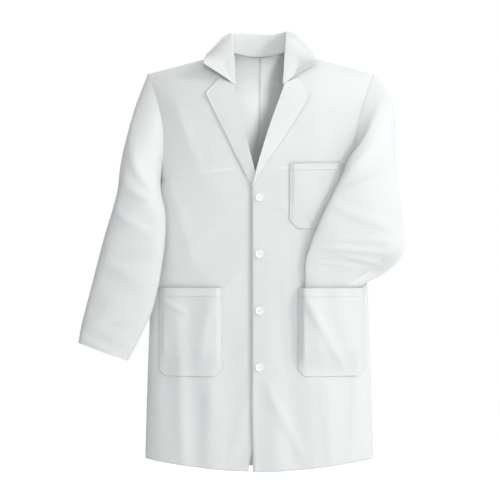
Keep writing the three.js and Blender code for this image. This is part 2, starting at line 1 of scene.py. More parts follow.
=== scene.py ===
import math
import numpy as np
import bpy
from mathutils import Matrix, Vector


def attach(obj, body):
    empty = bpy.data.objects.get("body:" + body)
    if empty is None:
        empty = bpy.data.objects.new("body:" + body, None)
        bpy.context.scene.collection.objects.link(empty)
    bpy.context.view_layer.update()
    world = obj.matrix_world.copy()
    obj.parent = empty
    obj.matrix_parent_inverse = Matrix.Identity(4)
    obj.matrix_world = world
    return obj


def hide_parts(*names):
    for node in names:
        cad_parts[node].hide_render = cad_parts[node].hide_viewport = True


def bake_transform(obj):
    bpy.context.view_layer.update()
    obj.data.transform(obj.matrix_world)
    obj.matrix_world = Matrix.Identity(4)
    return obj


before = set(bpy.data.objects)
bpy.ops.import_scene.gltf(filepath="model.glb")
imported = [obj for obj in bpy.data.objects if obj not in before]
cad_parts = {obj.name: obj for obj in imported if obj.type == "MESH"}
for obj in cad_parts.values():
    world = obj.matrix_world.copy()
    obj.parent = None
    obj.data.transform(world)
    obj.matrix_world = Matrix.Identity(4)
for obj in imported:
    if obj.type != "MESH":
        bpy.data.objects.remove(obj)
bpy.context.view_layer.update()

# camera: level with the middle of the coat, straight on
cameraSetup = {"place": (-0.023, -6.0, -0.485), "lens": 174.0}
cameraData = bpy.data.cameras.new("frontCamera")
cameraData.lens = cameraSetup["lens"]
cameraData.dof.use_dof = False
camera = bpy.data.objects.new("frontCamera", cameraData)
camera.location = cameraSetup["place"]
camera.rotation_euler = (math.radians(90), 0, 0)
bpy.context.scene.collection.objects.link(camera)
bpy.context.scene.camera = camera
print("camera placed")

# the coat's own measures, in millimetres
coat = {
    "underarmHalf": 246, "hemHalf": 283, "frontDepth": 82, "backDepth": 84, "square": 2.4,
    "rounding": 110, "neckHeight": 4, "tipHeight": -60, "underarm": -320, "lapelBreak": -332,
    "sideHem": -1000, "hemDrop": 28, "ventTop": -720, "neckHalf": 70, "neckDrop": 9,
    "shoulderTip": 270, "shoulderEase": 8, "frontScoop": 22, "backScoop": 16, "lap": 19,
    "ventLap": 22, "cloth": 1.1, "stack": 6.3,
    "gap": 0.3, "foldDepth": 0.8, "rollSpread": 19, "hemParting": 46,
}
shoulders = {"riseLeft": 10, "riseRight": 12, "outLeft": 15, "outRight": 7, "reach": 270}
left, right = 1, -1


def lerp(a, b, t):
    return a + (b - a) * t


def clip01(t):
    return np.clip(t, 0, 1)


def ease(t):
    t = clip01(t)
    return t * t * (3 - 2 * t)


def bump(t, centre, width):
    return np.exp(-(((t - centre) / width) ** 2))


def halfWidth(z):
    up = clip01((z - coat["underarm"]) / (coat["tipHeight"] - coat["underarm"]))
    above = lerp(coat["underarmHalf"], coat["shoulderTip"] + coat["shoulderEase"], up)
    down = clip01((coat["underarm"] - z) / (coat["underarm"] - coat["sideHem"]))
    return np.where(up > 0, above, lerp(coat["underarmHalf"], coat["hemHalf"], np.sqrt(down)))


def shoulderLine(x):
    along = (np.abs(x) - coat["neckHalf"]) / (coat["shoulderTip"] - coat["neckHalf"])
    return lerp(coat["neckHeight"], coat["tipHeight"], np.maximum(0, along) ** 1.1)


def hemLine(x):
    share = np.minimum(1, np.abs(x) / coat["hemHalf"])
    return coat["sideHem"] - coat["hemDrop"] * np.cos(share * math.pi / 2)


def depthShare(x, z):
    across = np.minimum(1, np.abs(x) / halfWidth(z))
    section = (1 - across ** coat["square"]) ** (1 / coat["square"])
    down = clip01((shoulderLine(x) - z) / coat["rounding"])
    return section * np.sqrt(1 - (1 - down) ** 2)


def ridge(x, z, start, end, width, height):
    # a soft crease from start to end in the front view
    dx, dz = end[0] - start[0], end[1] - start[1]
    length = math.hypot(dx, dz)
    along = ((x - start[0]) * dx + (z - start[1]) * dz) / length**2
    off = ((x - start[0]) * dz - (z - start[1]) * dx) / length
    fade = ease(along / 0.3 + 0.5) * ease((1 - along) / 0.3 + 0.5)
    return height * fade * np.exp(-((off / width) ** 2))


frontCreases = [  # start, end, width, height, all in millimetres
    ((64, -560), (76, -760), 11, 4.0),
    ((10, -805), (102, -985), 13, 5.0),
    ((-14, -790), (-70, -1010), 15, 4.0),
    ((-200, -640), (-186, -1000), 17, 5.0),
    ((-120, -820), (-134, -1020), 18, 5.0),
    ((160, -800), (178, -1010), 18, 5.0),
    ((238, -760), (232, -1000), 16, 5.5),
    ((-30, -350), (-170, -470), 15, 3.0),
    ((-60, -330), (-215, -365), 13, 3.0),
    ((40, -365), (150, -455), 14, 2.6),
    ((-205, -120), (-150, -290), 18, 3.2),
    ((205, -110), (150, -240), 16, 2.5),
    ((112, -600), (210, -790), 12, 3.0),
    ((-228, -300), (-160, -520), 16, 3.4),
    ((-40, -520), (-120, -640), 15, 2.6),
]


def frontFolds(x, z):
    low = ease((-420 - z) / 480)
    hang = 2.6 * np.sin(x / 21 + 0.9 * np.sin(z / 150)) + 1.9 * np.sin(x / 12.3 + 1.7 + z / 260)
    middle = 0.7 * np.sin(x / 33 + z / 41) + 0.5 * np.sin(x / 19 - z / 57 + 2)
    out = hang * low + middle * ease((-90 - z) / 120)
    for start, end, width, height in frontCreases:
        out = out + ridge(x, z, start, end, width, height)
    edge = ease((halfWidth(z) - np.abs(x)) / 40)
    return out * edge


def backFolds(x, z):
    low = ease((-300 - z) / 500)
    hang = 4.6 * np.sin(x / 24 + 0.7 * np.sin(z / 190) + 0.6) + 2.4 * np.sin(x / 13 + z / 300)
    middle = 1.3 * np.sin(x / 31 - z / 49) + 1.0 * np.sin(x / 17 + z / 71 + 1)
    blade = 3.0 * bump(np.abs(x), 120, 34) * bump(z, -210, 120)
    edge = ease((halfWidth(z) - np.abs(x)) / 40) * ease(np.abs(x) / 26)
    return (hang * low + middle * ease((-60 - z) / 120) + blade) * edge


def frontShell(x, z):
    # the smooth front of the body, without its folds
    return -coat["gap"] - coat["frontDepth"] * depthShare(x, z)


def backShell(x, z):
    return coat["gap"] + coat["backDepth"] * depthShare(x, z)


def frontY(x, z):
    return frontShell(x, z) - frontFolds(x, z) * coat["foldDepth"]


def backY(x, z):
    return backShell(x, z) + backFolds(x, z) * coat["foldDepth"]


def armholeEdge(z, scoop):
    down = clip01((coat["tipHeight"] - z) / (coat["tipHeight"] - coat["underarm"]))
    return lerp(coat["shoulderTip"], coat["underarmHalf"], down) - scoop * np.sin(math.pi * down)


gorge, notch = (62, -80), (94, -65)


def rollEdge(z):
    up = (z - coat["lapelBreak"]) / (gorge[1] - coat["lapelBreak"])
    bow = 5 * np.sin(math.pi * clip01(up))
    rolled = np.minimum(gorge[0], lerp(-coat["lap"], gorge[0], up) - bow)
    return np.where(z <= coat["lapelBreak"], -coat["lap"], rolled)


def rollSpread(z):
    # the under lapel opens wider than the upper one
    up = clip01((z - coat["lapelBreak"]) / (gorge[1] - coat["lapelBreak"]))
    return coat["rollSpread"] * (1 - up**3) * ease((z + 430) / 80)


def settle(points):
    # the shoulders hang a little squarer than the pattern, with both tips drawn out
    p = np.array(points, float)
    high = ease((p[..., 2] + 430) / 330)
    aside = np.clip(p[..., 0] / shoulders["reach"], -1.1, 1.1)
    riseLeft, riseRight = shoulders["riseLeft"] * aside, shoulders["riseRight"] * aside**2
    p[..., 2] += np.where(aside > 0, riseLeft, riseRight) * high
    out = np.where(aside > 0, shoulders["outLeft"], shoulders["outRight"])
    p[..., 0] += aside**3 * out * ease((p[..., 2] + 330) / 230)
    return p


def lapShift(x):
    return coat["stack"] * ease((205 - x) / 75)


def rowDown(v):
    turn = 0.16
    fall = coat["rounding"] / (coat["neckHeight"] - coat["sideHem"])
    top = fall * (1 - np.cos(np.minimum(v, turn) / turn * math.pi / 2))
    return np.where(v < turn, top, lerp(fall, 1, (v - turn) / (1 - turn)))


def panelX(u, inner, outer, width):
    power = coat["square"] / 2

    def angle(x):
        return np.arcsin(np.sign(x) * np.minimum(1, np.abs(x) / width) ** power)

    a = lerp(angle(inner), angle(outer), u)
    return np.sign(a) * width * np.abs(np.sin(a)) ** (1 / power)


def sideHeight(down, scoop):
    # the height a row of a body panel reaches at its side, in three rounds
    height = lerp(coat["tipHeight"], coat["sideHem"], down)
    for _ in range(3):
        x = np.where(height > coat["underarm"], armholeEdge(height, scoop), halfWidth(height))
        height = lerp(shoulderLine(x), hemLine(x), down)
    return height


def frontPoint(side, u, v, inset=0.0, reach=None):
    down = rowDown(v)
    row = lerp(coat["neckHeight"], coat["sideHem"] - coat["hemDrop"], down)
    low = sideHeight(down, coat["frontScoop"])
    outer = np.where(low > coat["underarm"], armholeEdge(low, coat["frontScoop"]), halfWidth(low))
    inner = rollEdge(row) + inset
    if side == right:  # rolled wider above, and the under layer pulls away towards the hem
        inner = inner + rollSpread(row) + coat["hemParting"] * ease((-868 - row) / 165)
    if side == left:
        inner = inner + 3 * ease((-880 - row) / 150)
    if reach is not None:
        outer = inner + reach
    x = panelX(u, inner, outer, halfWidth(low))
    z = lerp(shoulderLine(x), hemLine(x), down)
    y = frontY(side * x, z)
    if side == left:
        y = y - lapShift(x)
    return np.stack([side * x, y, z], -1)


def backPoint(side, u, v):
    down = rowDown(v)
    row = lerp(coat["neckHeight"], coat["sideHem"] - coat["hemDrop"], down)
    low = sideHeight(down, coat["backScoop"])
    outer = np.where(low > coat["underarm"], armholeEdge(low, coat["backScoop"]), halfWidth(low))
    inner = 0.2 - coat["ventLap"] * ease((coat["ventTop"] - row) / 40)
    x = panelX(u, inner, outer, halfWidth(low))
    dip = coat["neckDrop"] * clip01(1 - (x / coat["neckHalf"]) ** 2)
    z = lerp(shoulderLine(x) - dip, hemLine(x), down)
    y = backY(side * x, z)
    if side == right:
        y = y + 3.6 * ease((120 - x) / 50) * ease((coat["ventTop"] + 150 - z) / 80)
    return np.stack([side * x, y, z], -1)


print("coat measures ready")


# making sheets and stitches
def gridOf(pointAt, columns, rows):
    u, v = np.meshgrid(np.linspace(0, 1, columns + 1), np.linspace(0, 1, rows + 1))
    return pointAt(u.ravel(), v.ravel()).reshape(rows + 1, columns + 1, 3)


def addPart(name, mesh):
    part = bpy.data.objects.new(name, mesh)
    bpy.context.scene.collection.objects.link(part)
    return part


def pickOnly(part):
    # an operator works on all that is picked, so the rest is let go first
    bpy.ops.object.select_all(action="DESELECT")
    part.select_set(True)
    bpy.context.view_layer.objects.active = part


def sheetObject(name, points, thickness, outward, material):
    # points is a grid in millimetres of the face seen; outward is a rough direction it faces
    points = settle(points)
    rows, columns = points.shape[:2]
    vertices = (points.reshape(-1, 3) * 0.001).tolist()
    faces = []
    for j in range(rows - 1):
        for i in range(columns - 1):
            a = j * columns + i
            faces.append((a, a + 1, a + 1 + columns, a + columns))
    mesh = bpy.data.meshes.new(name)
    mesh.from_pydata(vertices, [], faces)
    across = np.linalg.norm(np.diff(points, axis=1), axis=2).mean(0)
    along = np.linalg.norm(np.diff(points, axis=0), axis=2).mean(1)
    us = np.concatenate([[0], np.cumsum(across)]) * 0.001
    vs = np.concatenate([[0], np.cumsum(along)]) * 0.001
    uv = mesh.uv_layers.new(name="grain")
    grid = np.array([(us[i], vs[j]) for j in range(rows) for i in range(columns)])
    loops = np.zeros(len(mesh.loops), int)
    mesh.loops.foreach_get("vertex_index", loops)
    uv.data.foreach_set("uv", grid[loops].ravel().astype(np.float32))
    part = addPart(name, mesh)
    mesh.update()
    normals = np.zeros(len(mesh.polygons) * 3)
    mesh.polygons.foreach_get("normal", normals)
    areas = np.zeros(len(mesh.polygons))
    mesh.polygons.foreach_get("area", areas)
    facing = (normals.reshape(-1, 3) * areas[:, None]).sum(0)
    if np.dot(facing, outward) < 0:
        mesh.flip_normals()
    mesh.materials.append(material)
    pickOnly(part)
    bpy.ops.object.shade_smooth()
    wall = part.modifiers.new("wall", "SOLIDIFY")
    wall.thickness = thickness * 0.001
    wall.offset = -1
    wall.use_even_offset = False
    bpy.ops.object.modifier_apply(modifier="wall")
    return part


# a dash of thread: two corners at each end, on the cloth, and four on top
dashFaces = [(0, 4, 5, 1), (4, 6, 7, 5), (6, 2, 3, 7), (0, 2, 6, 4), (1, 5, 7, 3), (0, 1, 3, 2)]


def stitchRun(paths, spacing=2.6, length=1.8, width=0.55, lift=0.25):
    # small thread dashes along paths; a path is (points, normals) in millimetres
    vertices, faces = [], []
    for points, normals in paths:
        points = settle(points)
        seg = np.linalg.norm(np.diff(points, axis=0), axis=1)
        run = np.concatenate([[0], np.cumsum(seg)])
        for start in np.arange(spacing, run[-1] - spacing, spacing):
            ends = [np.array([np.interp(d, run, points[:, k]) for k in range(3)])
                    for d in (start, start + length)]
            n = np.array([np.interp(start, run, normals[:, k]) for k in range(3)])
            n = n / (np.linalg.norm(n) + 1e-9)
            t = ends[1] - ends[0]
            t = t / (np.linalg.norm(t) + 1e-9)
            s = np.cross(n, t) * width / 2
            b = len(vertices)
            middle = (ends[0] + ends[1]) / 2
            low = -0.25 * n
            for p in (ends[0] + low, ends[1] + low):
                vertices += [(p - s) * 0.001, (p + s) * 0.001]
            for shift in (-0.25, 0.25):
                p = middle + t * length * shift + n * lift
                vertices += [(p - s * 0.7) * 0.001, (p + s * 0.7) * 0.001]
            faces += [tuple(b + corner for corner in face) for face in dashFaces]
    return vertices, faces


def stitchObject(name, paths, material, **sizes):
    vertices, faces = stitchRun(paths, **sizes)
    mesh = bpy.data.meshes.new(name)
    mesh.from_pydata([tuple(v) for v in vertices], [], faces)
    mesh.materials.append(material)
    part = addPart(name, mesh)
    pickOnly(part)
    bpy.ops.object.mode_set(mode="EDIT")
    bpy.ops.mesh.select_all(action="SELECT")
    bpy.ops.mesh.normals_make_consistent(inside=False)
    bpy.ops.object.mode_set(mode="OBJECT")
    return part


def pathOn(pointAt, us, vs, outward):
    # a line across a surface with its normals, for stitching
    us, vs = np.asarray(us, float), np.asarray(vs, float)
    step = 1e-3
    points = pointAt(us, vs)
    alongU = pointAt(np.minimum(1, us + step), vs) - pointAt(np.maximum(0, us - step), vs)
    alongV = pointAt(us, np.minimum(1, vs + step)) - pointAt(us, np.maximum(0, vs - step))
    normals = np.cross(alongU, alongV)
    normals /= np.linalg.norm(normals, axis=1, keepdims=True) + 1e-9
    sign = np.sign((normals * np.asarray(outward)).sum(1, keepdims=True))
    return points, normals * np.where(sign == 0, 1, sign)


# materials
class Wire:  # a socket that can be used in sums
    def __init__(self, tree, socket):
        self.tree, self.socket = tree, socket

    def maths(self, operation, other=None, flipped=False):
        node = self.tree.nodes.new("ShaderNodeMath")
        node.operation = operation
        values = [self] if other is None else ([other, self] if flipped else [self, other])
        for slotNumber, value in enumerate(values):
            if isinstance(value, Wire):
                self.tree.links.new(value.socket, node.inputs[slotNumber])
            else:
                node.inputs[slotNumber].default_value = value
        return Wire(self.tree, node.outputs[0])

    def __add__(self, other):
        return self.maths("ADD", other)

    def __radd__(self, other):
        return self.maths("ADD", other, True)

    def __sub__(self, other):
        return self.maths("SUBTRACT", other)

    def __rsub__(self, other):
        return self.maths("SUBTRACT", other, True)

    def __mul__(self, other):
        return self.maths("MULTIPLY", other)

    def __rmul__(self, other):
        return self.maths("MULTIPLY", other, True)


class Finish:  # one material and its nodes
    def __init__(self, name):
        self.material = bpy.data.materials.new(name)
        self.material.use_nodes = True
        self.tree = self.material.node_tree
        self.shader = self.tree.nodes["Principled BSDF"]

    def node(self, kind, settings=None, sockets=None, out=0):
        made = self.tree.nodes.new(kind)
        for key, value in (settings or {}).items():
            setattr(made, key, value)
        for key, value in (sockets or {}).items():
            if isinstance(value, Wire):
                self.tree.links.new(value.socket, made.inputs[key])
            else:
                made.inputs[key].default_value = value
        return Wire(self.tree, made.outputs[out])

    def feed(self, socket, wire):
        self.tree.links.new(wire.socket, self.shader.inputs[socket])

    def fix(self, **values):
        for key, value in values.items():
            self.shader.inputs[key.replace("_", " ")].default_value = value


colourMix = {"data_type": "RGBA"}


def clothFinish(name, colour, shade=0.035, rough=0.82, weave=900):
    finish = Finish(name)
    grain = finish.node("ShaderNodeUVMap", {"uv_map": "grain"})
    place = finish.node("ShaderNodeTexCoord", out=3)
    yarn = {"Vector": grain, "Scale": weave, "Distortion": 0.6}
    warp = finish.node("ShaderNodeTexWave", {"bands_direction": "X"}, yarn, out=1)
    weft = finish.node("ShaderNodeTexWave", {"bands_direction": "Y"}, yarn, out=1)
    slub = finish.node("ShaderNodeTexNoise", None, {"Vector": grain, "Scale": 60.0, "Detail": 4.0})
    soft = {"Vector": place, "Scale": 9.0, "Detail": 3.0, "Roughness": 0.55}
    rumple = finish.node("ShaderNodeTexNoise", None, soft)
    fine = {"Vector": place, "Scale": 34.0, "Detail": 3.0, "Roughness": 0.6}
    crush = finish.node("ShaderNodeTexNoise", None, fine)
    # the colour follows the rumple relief, paler on the rises and darker in the dents: painted shade; the
    # slub share is the yarn's own uneven tone
    dentShadeAndSlubTone = rumple * 0.7 + slub * 0.3
    paler = tuple(min(1, c * (1 + shade)) for c in colour) + (1,)
    darker = tuple(c * (1 - shade) for c in colour) + (1,)
    tint = finish.node("ShaderNodeMix", colourMix, {0: dentShadeAndSlubTone, 6: darker, 7: paler}, out=2)
    finish.feed("Base Color", tint)
    finish.feed("Roughness", slub * 0.12 + (rough - 0.06))
    height = (warp + weft) * 0.06 + rumple * 1.6 + crush * 0.55
    dent = {"Height": height, "Distance": 0.0026, "Strength": 0.8}
    relief = finish.node("ShaderNodeBump", None, dent)
    finish.feed("Normal", relief)
    finish.fix(Sheen_Weight=0.12, Sheen_Roughness=0.5, Specular_IOR_Level=0.25)
    return finish.material


whiteCloth = (0.665, 0.688, 0.686)
bodyFinish = clothFinish("bodyPoplin", whiteCloth)
sleeveFinish = clothFinish("sleevePoplin", whiteCloth)
# the collar and lapel copy of the poplin is paler than the body: painted light on the outer top parts
paintedLitCollarFinish = clothFinish("collarPoplinPaintedLight", (0.675, 0.698, 0.696), rough=0.78)
# the pocket and facing copies are darker than the body: painted shade; the facing copy also dresses the
# under collar and the side allowances inside
paintedShadePocketFinish = clothFinish("pocketPoplinPaintedShade", (0.657, 0.682, 0.680))
paintedShadeFacingFinish = clothFinish("facingPoplinPaintedShade", (0.657, 0.680, 0.680))


def threadFinish():
    finish = Finish("sewingThread")
    place = finish.node("ShaderNodeTexCoord", out=3)
    strands = {"Vector": place, "Scale": 1400.0, "Detail": 2.0}
    ply = finish.node("ShaderNodeTexNoise", None, strands)
    darker, paler = (0.66, 0.68, 0.69, 1), (0.80, 0.82, 0.82, 1)
    tint = finish.node("ShaderNodeMix", colourMix, {0: ply, 6: darker, 7: paler}, out=2)
    finish.feed("Base Color", tint)
    finish.feed("Roughness", ply * 0.2 + 0.55)
    finish.fix(Sheen_Weight=0.2)
    return finish.material


def buttonFinish():
    finish = Finish("castButton")
    place = finish.node("ShaderNodeTexCoord", out=3)
    marble = {"Vector": place, "Scale": 160.0, "Detail": 3.0, "Distortion": 1.2}
    cloud = finish.node("ShaderNodeTexNoise", None, marble)
    wear = {"Vector": place, "Scale": 900.0, "Detail": 2.0}
    scratch = finish.node("ShaderNodeTexNoise", None, wear)
    darker, paler = (0.70, 0.71, 0.70, 1), (0.84, 0.85, 0.83, 1)
    tint = finish.node("ShaderNodeMix", colourMix, {0: cloud, 6: darker, 7: paler}, out=2)
    finish.feed("Base Color", tint)
    finish.feed("Roughness", scratch * 0.15 + 0.22)
    finish.feed("Coat Weight", scratch * 0.1 + 0.3)
    finish.fix(Specular_IOR_Level=0.5)
    return finish.material


threadMaterial = threadFinish()
buttonMaterial = buttonFinish()
print("materials ready")

sideNames = {left: "left", right: "right"}


def swings(part):
    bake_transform(part)
    return part


# fronts, facings
panelDetail = {"columns": 84, "rows": 210}
facingCut = {"top": 0.19, "foot": 0.999, "width": 92.0, "behind": 2.2, "columns": 24, "rows": 160}


def facingPoint(side, u, v):
    down = lerp(facingCut["top"], facingCut["foot"], v)
    return frontPoint(side, u, down, 1.0, facingCut["width"]) + np.array([0, facingCut["behind"], 0])



for side in (right, left):
    name = sideNames[side]
    grid = gridOf(lambda u, v: frontPoint(side, u, v), panelDetail["columns"], panelDetail["rows"])
    panel = sheetObject(f"{name}Front", grid, coat["cloth"], (0, -1, 0), bodyFinish)
    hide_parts(f"front_{name}_upper", f"front_{name}_lower")
    inside = gridOf(lambda u, v: facingPoint(side, u, v), facingCut["columns"], facingCut["rows"])
    facing = sheetObject(f"{name}Facing", inside, coat["cloth"], (0, 1, 0), paintedShadeFacingFinish)
    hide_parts(f"facing_{name}_upper", f"facing_{name}_lower",
                f"interlining_{name}_upper", f"interlining_{name}_lower")
    swings(panel)
    swings(facing)
print("fronts and facings made")

# back halves
for side in (right, left):
    name = sideNames[side]
    grid = gridOf(lambda u, v: backPoint(side, u, v), panelDetail["columns"], panelDetail["rows"])
    panel = sheetObject(f"{name}Back", grid, coat["cloth"], (0, 1, 0), bodyFinish)
    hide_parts(f"back_{name}")
    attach(panel, "coat")

# a strip of seam allowance inside each side seam, behind the front's edge
allowance = {"width": 13, "top": -342, "foot": -1004, "inside": 2.7, "inset": 0.6, "cloth": 0.6}


def allowancePoint(side, u, v):
    z = lerp(allowance["top"], allowance["foot"], v)
    x = halfWidth(z) - allowance["inset"] - allowance["width"] * u**2
    z = np.maximum(z, hemLine(x) + 3)
    y = -coat["frontDepth"] * depthShare(x, z) + allowance["inside"]
    return np.stack([side * x, y, z], -1)


for side in (right, left):
    name = sideNames[side]
    grid = gridOf(lambda u, v: allowancePoint(side, u, v), columns=12, rows=110)
    outward = (side, -0.3, 0)
    strip = sheetObject(f"{name}SideAllowance", grid, allowance["cloth"], outward, paintedShadeFacingFinish)
    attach(strip, "coat")
print("back made")

# lapels, turned back over the chest from the roll
lapel = {"tip": (127, -105), "belly": (64, -205), "foot": -331, "stand": 5.5, "cloth": 1.4}


def lapelEdge(v, side):
    # the free edge, from the notch round the tip and down to where the roll ends
    foot = lapel["foot"]
    corners = [notch, lapel["tip"], (101, -150), lapel["belly"], (17, -272), (-17, foot)]
    if side == right:
        corners = [(97, -63), (132, -103), (111, -146), (80, -208), (46, -276), (17, foot)]
    xs, zs = zip(*corners)
    steps = [0, 0.17, 0.34, 0.56, 0.78, 1]
    return np.interp(v, steps, xs), np.interp(v, steps, zs)


def lapelPoint(side, u, v):
    rollZ = lerp(gorge[1] + 2, lapel["foot"], v**1.05)
    rollX = rollEdge(rollZ) + (rollSpread(rollZ) if side == right else 0)
    edgeX, edgeZ = lapelEdge(v, side)
    x, z = lerp(rollX, edgeX, u), lerp(rollZ, edgeZ, u)
    lift = coat["stack"] if side == left else 0
    close = ease((z - lapel["foot"]) / 60)
    ground = frontShell(x, z) - lift
    puff = 2.0 + lapel["stand"] * close * (1 - u) ** 0.7 * (1 - 0.5 * u) + 1.6 * close
    curl = 1.6 * ease((u - 0.9) / 0.1) * bump(v, 0.17, 0.1)
    return np.stack([side * x, ground - puff - curl, z], -1)


for side in (right, left):
    name = sideNames[side]
    grid = gridOf(lambda u, v: lapelPoint(side, u, v), columns=44, rows=90)
    flap = sheetObject(f"{name}Lapel", grid, lapel["cloth"], (0, -1, 0), paintedLitCollarFinish)
    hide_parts(f"lapel_{name}")
    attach(flap, "coat")
print("lapels made")

# collar: one strip folded over its stand
collar = {"stand": 49, "tip": (138, -30), "shoulder": (130, 0), "fall": 66, "frontShare": 0.45}


def collarLines(t):
    share = collar["frontShare"]
    front, behind = clip01(t / share), clip01((t - share) / (1 - share))
    sweep, turnIn = np.sin(behind * math.pi / 2), np.cos(behind * math.pi / 2)
    isFront = t < share
    x = np.where(isFront, lerp(gorge[0], coat["neckHalf"], front), coat["neckHalf"] * turnIn)
    dip = coat["neckDrop"] * (1 - (x / coat["neckHalf"]) ** 2)
    seamX = np.where(isFront, x - 3, x * 0.95)
    frontSeamY = -79.0 * (1 - front) - 3
    seamY = np.where(isFront, frontSeamY, lerp(-3, 29.5, sweep))
    seamZ = np.where(isFront, lerp(gorge[1], coat["neckHeight"], front), coat["neckHeight"] - dip)
    seam = np.stack([seamX, seamY, seamZ], -1)
    rise = collar["stand"] * ease(front / 0.9) + coat["neckDrop"] * behind
    roll = seam + np.stack([0 * x, -6 * (1 - front), rise], -1)
    tip, shoulder = collar["tip"], collar["shoulder"]
    ex = np.where(isFront, lerp(tip[0], shoulder[0], front), shoulder[0] * turnIn**0.8)
    ey = np.where(isFront, lerp(-88.0, 2, ease(front)), lerp(2, 80, sweep))
    low = coat["neckHeight"] + collar["stand"] - collar["fall"]
    backZ = lerp(shoulder[1], low, ease(behind * 1.6))
    ez = np.where(isFront, lerp(tip[1], shoulder[1], front), backZ)
    return seam, roll, np.stack([ex, ey, ez], -1)


def catmull(rings, v):
    # rings is [k, n, 3]; v gives each of the n points its place down them
    rings = np.asarray(rings)
    count = len(rings) - 1
    place = np.clip(v * count, 0, count - 1e-9)
    i = place.astype(int)
    t = (place - i)[:, None]
    n = np.arange(rings.shape[1])
    p1, p2 = rings[i, n], rings[i + 1, n]
    p0 = np.where((i == 0)[:, None], 2 * p1 - p2, rings[np.maximum(i - 1, 0), n])
    p3 = np.where((i == count - 1)[:, None], 2 * p2 - p1, rings[np.minimum(i + 2, count), n])
    a, b = 2 * p1, p2 - p0
    c, d = 2 * p0 - 5 * p1 + 4 * p2 - p3, 3 * p1 - p0 - 3 * p2 + p3
    return 0.5 * (a + b * t + c * t**2 + d * t**3)


def collarPoint(u, v, drop=0.0):
    t = 1 - np.abs(2 * u - 1)
    seam, roll, edge = collarLines(t)
    out = edge - roll
    out[:, 2] = 0
    out /= np.linalg.norm(out, axis=1, keepdims=True)
    turn = (4 + 3 * ease(t / 0.3))[:, None]
    up = np.array([0, 0, 1.0])
    stations = [seam - 2 * out, lerp(seam, roll, 0.75) - 2 * out + drop * out]
    stations += [roll + out * (turn * 0.4) - drop * up]
    stations += [lerp(roll, edge, 0.3) + out * turn + 4 * up - drop * out - drop * up * 0.5, edge]
    point = catmull(stations, v)
    # the end of the collar lies level with the lapel it is sewn to
    away = clip01((np.abs(point[:, 0]) - gorge[0]) / (collar["tip"][0] - gorge[0]))
    level = 3.6 + lapel["stand"] * (1 - away) ** 0.7 * (1 - 0.5 * away)
    lift = lerp(level, 6.0, ease(t / 0.16)) + np.where(u > 0.5, coat["stack"], 0) - drop
    onFront = (t < collar["frontShare"]) & (v > 0.3)
    ground = frontShell(point[:, 0], point[:, 2]) - lift
    point[:, 1] = np.where(onFront, np.minimum(point[:, 1], ground), point[:, 1])
    behind = backShell(point[:, 0], point[:, 2]) + 6
    point[:, 1] = np.where((t > 0.5) & (v > 0.5), np.maximum(point[:, 1], behind), point[:, 1])
    point[:, 2] += 1.3 * np.sin(u * 19) * ease(t / 0.5) * ease(v / 0.4)
    point[:, 0] = np.where(u < 0.5, -point[:, 0], point[:, 0])
    return point


grid = gridOf(collarPoint, columns=170, rows=50)
upperCollar = sheetObject("upperCollar", grid, 1.2, (0, 0, 1), paintedLitCollarFinish)
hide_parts("upper_collar")
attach(upperCollar, "coat")
beneath = 1.8  # the under collar lies this far inside the upper one, a little short of its edges
grid = gridOf(lambda u, v: collarPoint(u, lerp(0.02, 0.985, v), beneath), columns=150, rows=40)
underCollar = sheetObject("underCollar", grid, 1.0, (0, 0, 1), paintedShadeFacingFinish)
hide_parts("under_collar")
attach(underCollar, "coat")
print("collar made")

# pockets
pockets = {
    "right_hip": {"side": right, "node": "hip_pocket_right", "inner": 92, "width": 156,
                  "top": -578, "height": 217, "foot": 17, "swell": 8},
    "left_hip": {"side": left, "node": "hip_pocket_left", "inner": 94, "width": 165,
                 "top": -578, "height": 217, "foot": 17, "swell": 25},
    "chest": {"side": left, "node": "chest_pocket", "inner": 73, "width": 133,
              "top": -275, "height": 158, "foot": 22, "swell": 5},
}


pocketBand = {"share": 0.1, "lift": 0.55, "cloth": 0.5}  # the turned hem along a pocket's mouth


def pocketPoint(pocket, u, v):
    outer = pocket["inner"] + pocket["width"]
    bottom = pocket["top"] - pocket["height"]
    z = lerp(pocket["top"], bottom, v)
    above = z - bottom
    cut = pocket["foot"] * clip01(1 - above / pocket["foot"]) * (above < pocket["foot"])
    x = lerp(pocket["inner"] + cut, outer - cut, u)
    across = np.clip((x - pocket["inner"]) / pocket["width"], 0, 1)
    up = clip01(above / pocket["height"])
    fromEdge = np.minimum(across, 1 - across)
    fullness = ease(fromEdge / 0.1) * ease(up / 0.35)
    shift = lapShift(x) if pocket["side"] == left else 0
    y = frontY(pocket["side"] * x, z) - shift - 1.9 - pocket["swell"] * fullness
    if pocket["node"] == "hip_pocket_left":
        y = y - ridge(x, z, (112, -600), (215, -780), 13, 4.0) * ease(fromEdge / 0.14)
        y = y - 2.0 * np.sin(x / 11 + z / 60) * fullness
    if pocket["node"] == "hip_pocket_right":
        y = y - ridge(x, z, (235, -612), (180, -640), 8, 3.5)
        y = y - ridge(x, z, (120, -600), (150, -760), 14, 2.5) * fullness
        y = y - 1.0 * np.sin(x / 14 + z / 45) * fullness
    if pocket["node"] == "chest_pocket":
        y = y - 0.8 * np.sin(x / 13 + z / 50) * fullness
    return np.stack([pocket["side"] * x, y, z], -1)


for name, pocket in pockets.items():
    grid = gridOf(lambda u, v: pocketPoint(pocket, u, v), columns=62, rows=84)
    bag = sheetObject(f"{name}Pocket", grid, 1.2, (0, -1, 0), paintedShadePocketFinish)
    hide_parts(pocket["node"])
    lifted = np.array([0, -pocketBand["lift"], 0])
    band = gridOf(lambda u, v: pocketPoint(pocket, u, v * pocketBand["share"]) + lifted, 62, 10)
    hem = sheetObject(f"{name}PocketHem", band, pocketBand["cloth"], (0, -1, 0), paintedShadePocketFinish)
    for part in (bag, hem):
        if name == "chest":
            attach(part, "coat")
        else:
            swings(part)
print("pockets made")

